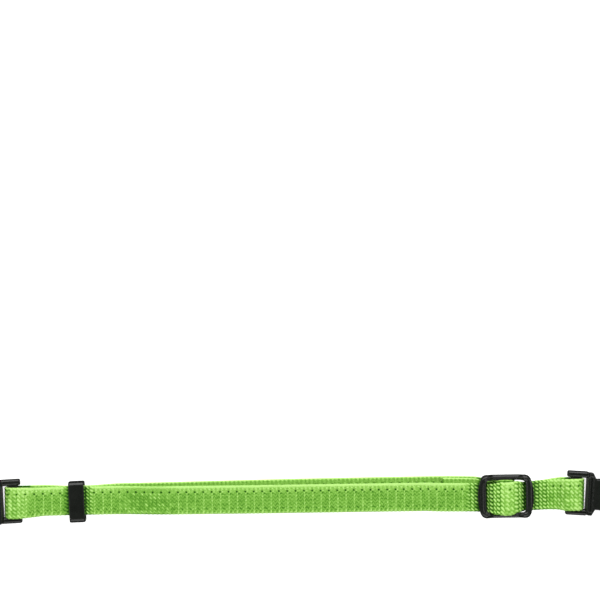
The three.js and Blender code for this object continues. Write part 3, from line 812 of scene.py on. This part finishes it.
shade = shade + (loops - 0.5) * LOOP_SHARE + (cloud - 0.5) * CLOUD_SHARE
# The ramp turns the tone into colour, with its painted highlights on the crowns and painted shade in the
# gaps.
yarn_and_painted_light = knit_shader.add("ShaderNodeValToRGB", "Color", {"stops": [
    (0.0, (0.012, 0.066, 0.001)),
    (0.28, (0.049, 0.178, 0.008)),
    (0.5, (0.113, 0.300, 0.028)),
    (0.75, (0.216, 0.448, 0.071)),
    (1.0, (0.390, 0.640, 0.180)),
]}, {"Fac": shade})
yarn_bump = knit_shader.add("ShaderNodeBump", "Normal", None, {
    "Height": fibre, "Strength": 0.5, "Distance": 0.05 * MM})
knit_shader.set(Base_Color=yarn_and_painted_light, Roughness=0.75, Normal=yarn_bump, Specular_IOR_Level=0.15)
strap.data.materials.append(knit_shader.material)
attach(strap, "root")
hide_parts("strap")
print("knit nodes:", len(knit_shader.tree.nodes))

# %% [markdown]
# ## Moulded plastic
# The slider, the keeper and both buckle halves are injection moulded in black acetal. Their
# edges are soft and where walls meet there is a small fillet. A Bevel modifier rounds only clean
# edges, and these solids meet in many ways. So a copy of each solid is merged, rebuilt on a fine
# voxel grid and smoothed, which rounds all edges in one go.

# %% Moulding helper
MERGE_MM = 0.001
SMOOTHING_FACTOR = 0.5


def moulded(node, voxel, smoothing, *added):
    """A copy of a CAD node, merged, joined by added skins, rebuilt on voxels of one size and
    smoothed a few times."""
    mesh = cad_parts[node].data.copy()
    mesh.name = node + "_moulded"
    mesh.materials.clear()
    work = bmesh.new()
    work.from_mesh(mesh)
    bmesh.ops.remove_doubles(work, verts=work.verts, dist=MERGE_MM * MM)
    for skin in added:
        work.from_mesh(skin.data)
        bpy.data.objects.remove(skin)
    work.to_mesh(mesh)
    work.free()
    item = bpy.data.objects.new(node + "_moulded", mesh)
    bpy.context.scene.collection.objects.link(item)
    remesh = item.modifiers.new("voxels", "REMESH")
    remesh.mode = "VOXEL"
    remesh.voxel_size = voxel * MM
    remesh.use_smooth_shade = True
    soft = item.modifiers.new("soft", "SMOOTH")
    soft.iterations = smoothing
    soft.factor = SMOOTHING_FACTOR
    return item


print("moulding helper ready")

# %% [markdown]
# ## The slider's lip and crown
# The slider's frame is round on top, with a thin lip along its window that catches the light, and
# it arches where the tape passes under its end bars. Sculpting could give that. Two round beads
# along rounded rectangles, the crown and the inner lip, do it with a formula: they are joined to
# the solid's copy before it is rebuilt, so the voxel grid melts them into one skin.

# %% Lip and crown
PATH_POINTS = 240
CIRCLE_POINTS = 12
RAIL_TOP = 4.1
ARCH_RISE = 1.35
ARCH_FROM = 4.3
ARCH_TO = 7.0


def frame_top(x):
    """Height of the slider's frame at x: low rails, and end bars that arch over the tape."""
    return RAIL_TOP + ARCH_RISE * smooth_step(ARCH_FROM, ARCH_TO, x)


def ring_skin(name, half_x, half_y, corner, below_top, radius):
    """A round bead of one radius along a rounded rectangle about the slider's middle.

    The path's corner is a superellipse: each coordinate is half * sign(cos a) * |cos a|^corner.
    Its height is the frame's top at |x|, less below_top."""
    angle = np.linspace(0, 2 * np.pi, PATH_POINTS + 1)[:-1]
    x = half_x * np.sign(np.cos(angle)) * np.abs(np.cos(angle)) ** corner
    y = half_y * np.sign(np.sin(angle)) * np.abs(np.sin(angle)) ** corner
    path = np.stack([x, y, frame_top(np.abs(x)) - below_top], axis=-1)
    ahead = np.roll(path, -1, axis=0) - np.roll(path, 1, axis=0)
    ahead /= np.linalg.norm(ahead, axis=-1, keepdims=True)
    up = np.array([0.0, 0.0, 1.0])
    aside = np.cross(ahead, up)
    aside /= np.linalg.norm(aside, axis=-1, keepdims=True)
    above = np.cross(aside, ahead)
    turn = np.linspace(0, 2 * np.pi, CIRCLE_POINTS + 1)[:-1]
    circle = np.cos(turn)[None, :, None] * aside[:, None] + np.sin(turn)[None, :, None] * above[:, None]
    points = path[:, None] + radius * circle + slider_middle * (1, 1, 0)
    i, k = np.meshgrid(np.arange(PATH_POINTS), np.arange(CIRCLE_POINTS), indexing="ij")
    here, ahead_here = i * CIRCLE_POINTS, (i + 1) % PATH_POINTS * CIRCLE_POINTS
    k_next = (k + 1) % CIRCLE_POINTS
    quads = np.stack([here + k, ahead_here + k, ahead_here + k_next, here + k_next], axis=-1)
    mesh = bpy.data.meshes.new(name)
    mesh.from_pydata(points.reshape(-1, 3) * MM, [], quads.reshape(-1, 4).tolist())
    item = bpy.data.objects.new(name, mesh)
    bpy.context.scene.collection.objects.link(item)
    outward(item)
    return item


inner_lip = ring_skin("inner_lip", half_x=7.25, half_y=5.95, corner=0.24, below_top=0.08, radius=0.26)
crown = ring_skin("crown", half_x=8.45, half_y=6.7, corner=0.3, below_top=0.7, radius=0.92)
print("faces of lip and crown:", len(inner_lip.data.polygons), len(crown.data.polygons))

# %% The four hard pieces
plastic_pieces = {
    "slider": moulded("slider", 0.11, 6, inner_lip, crown),
    "keeper": moulded("keeper", 0.12, 30),
    "buckle_socket": moulded("buckle_socket", 0.15, 12),
    "buckle_prong": moulded("buckle_prong", 0.13, 12),
}
print("moulded pieces:", sorted(plastic_pieces))

# %% [markdown]
# ## Finish of the plastic
# The acetal is black, a little glossy and finely grained by its mould. One even black would look
# like paint. So two noises on Object coordinates give it a fine grit for the bump and a slow flow,
# which changes colour and gloss a little from place to place.

# %% Plastic material
GRIT_SCALE = 5200.0
FLOW_SCALE = 260.0
DARK_BLACK = (0.003, 0.0040, 0.0028, 1)
PALE_BLACK = (0.006, 0.0075, 0.0054, 1)
plastic = Shader("black_acetal")
spot_on = plastic.add("ShaderNodeTexCoord", "Object")
grit = plastic.noise(spot_on, GRIT_SCALE, 2.0)
flow = plastic.noise(spot_on, FLOW_SCALE, 3.0)
black = plastic.add("ShaderNodeMix", 2, {"data_type": "RGBA"}, {0: flow, 6: DARK_BLACK, 7: PALE_BLACK})
grain_bump = plastic.add("ShaderNodeBump", "Normal", None, {
    "Height": grit, "Strength": 0.35, "Distance": 0.02 * MM})
plastic.set(Base_Color=black, Roughness=flow * 0.16 + 0.2, Normal=grain_bump, Specular_IOR_Level=0.35)
for node, item in plastic_pieces.items():
    item.data.materials.append(plastic.material)
    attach(item, "root")
    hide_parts(node)
print("plastic nodes:", len(plastic.tree.nodes))

# %% [markdown]
# ## Floor and light
# The photo is high key: a white table, a large soft light beyond the collar's upper edge and
# white cards round it, with the dark camera overhead. Flat black plastic mirrors the camera's
# side and stays black, and only edges that lean to a light turn grey. A picture of a studio could
# light it all, but four soft lamps can be set one by one. The plastic doesn't mirror the floor
# here, because a floor that glows would turn the slots' dark walls grey.

# %% Floor and lights
FLOOR_HALF = 3.0
ROOM_LIGHT = 0.12


def floor_plane(half):
    """A square of side 2 * half at height nought."""
    corners = [(-half, -half, 0), (half, -half, 0), (half, half, 0), (-half, half, 0)]
    mesh = bpy.data.meshes.new("floor")
    mesh.from_pydata(corners, [], [(0, 1, 2, 3)])
    item = bpy.data.objects.new("floor", mesh)
    bpy.context.scene.collection.objects.link(item)
    return item


def soft_light(name, place, size, watts):
    """A rectangular light at a place in metres, turned to the collar's middle."""
    lamp = bpy.data.lights.new(name, "AREA")
    lamp.shape = "RECTANGLE"
    lamp.size, lamp.size_y = size
    lamp.energy = watts
    item = bpy.data.objects.new(name, lamp)
    x, y, z = place
    item.location = place
    item.rotation_euler = (math.atan2(math.hypot(x, y), z), 0.0, math.atan2(y, x) + math.pi / 2)
    bpy.context.scene.collection.objects.link(item)


floor = floor_plane(FLOOR_HALF)
floor.visible_glossy = False
white = Shader("white_table")
white.set(Base_Color=(0.6, 0.6, 0.6, 1), Roughness=0.9, Emission_Color=(1, 1, 1, 1), Emission_Strength=0.8)
floor.data.materials.append(white.material)
soft_light("key", place=(0.0, 0.75, 0.62), size=(1.1, 0.95), watts=15.0)
soft_light("fill", place=(0.0, -0.75, 0.62), size=(1.1, 0.8), watts=7.0)
soft_light("left", place=(-0.8, 0.1, 0.5), size=(0.4, 0.6), watts=2.0)
soft_light("right", place=(0.8, 0.1, 0.5), size=(0.4, 0.6), watts=2.0)
world = bpy.data.worlds.new("room")
world.use_nodes = True
background = world.node_tree.nodes["Background"]
background.inputs["Color"].default_value = (1, 1, 1, 1)
background.inputs["Strength"].default_value = ROOM_LIGHT
bpy.context.scene.world = world
bpy.context.scene.view_settings.view_transform = "Standard"
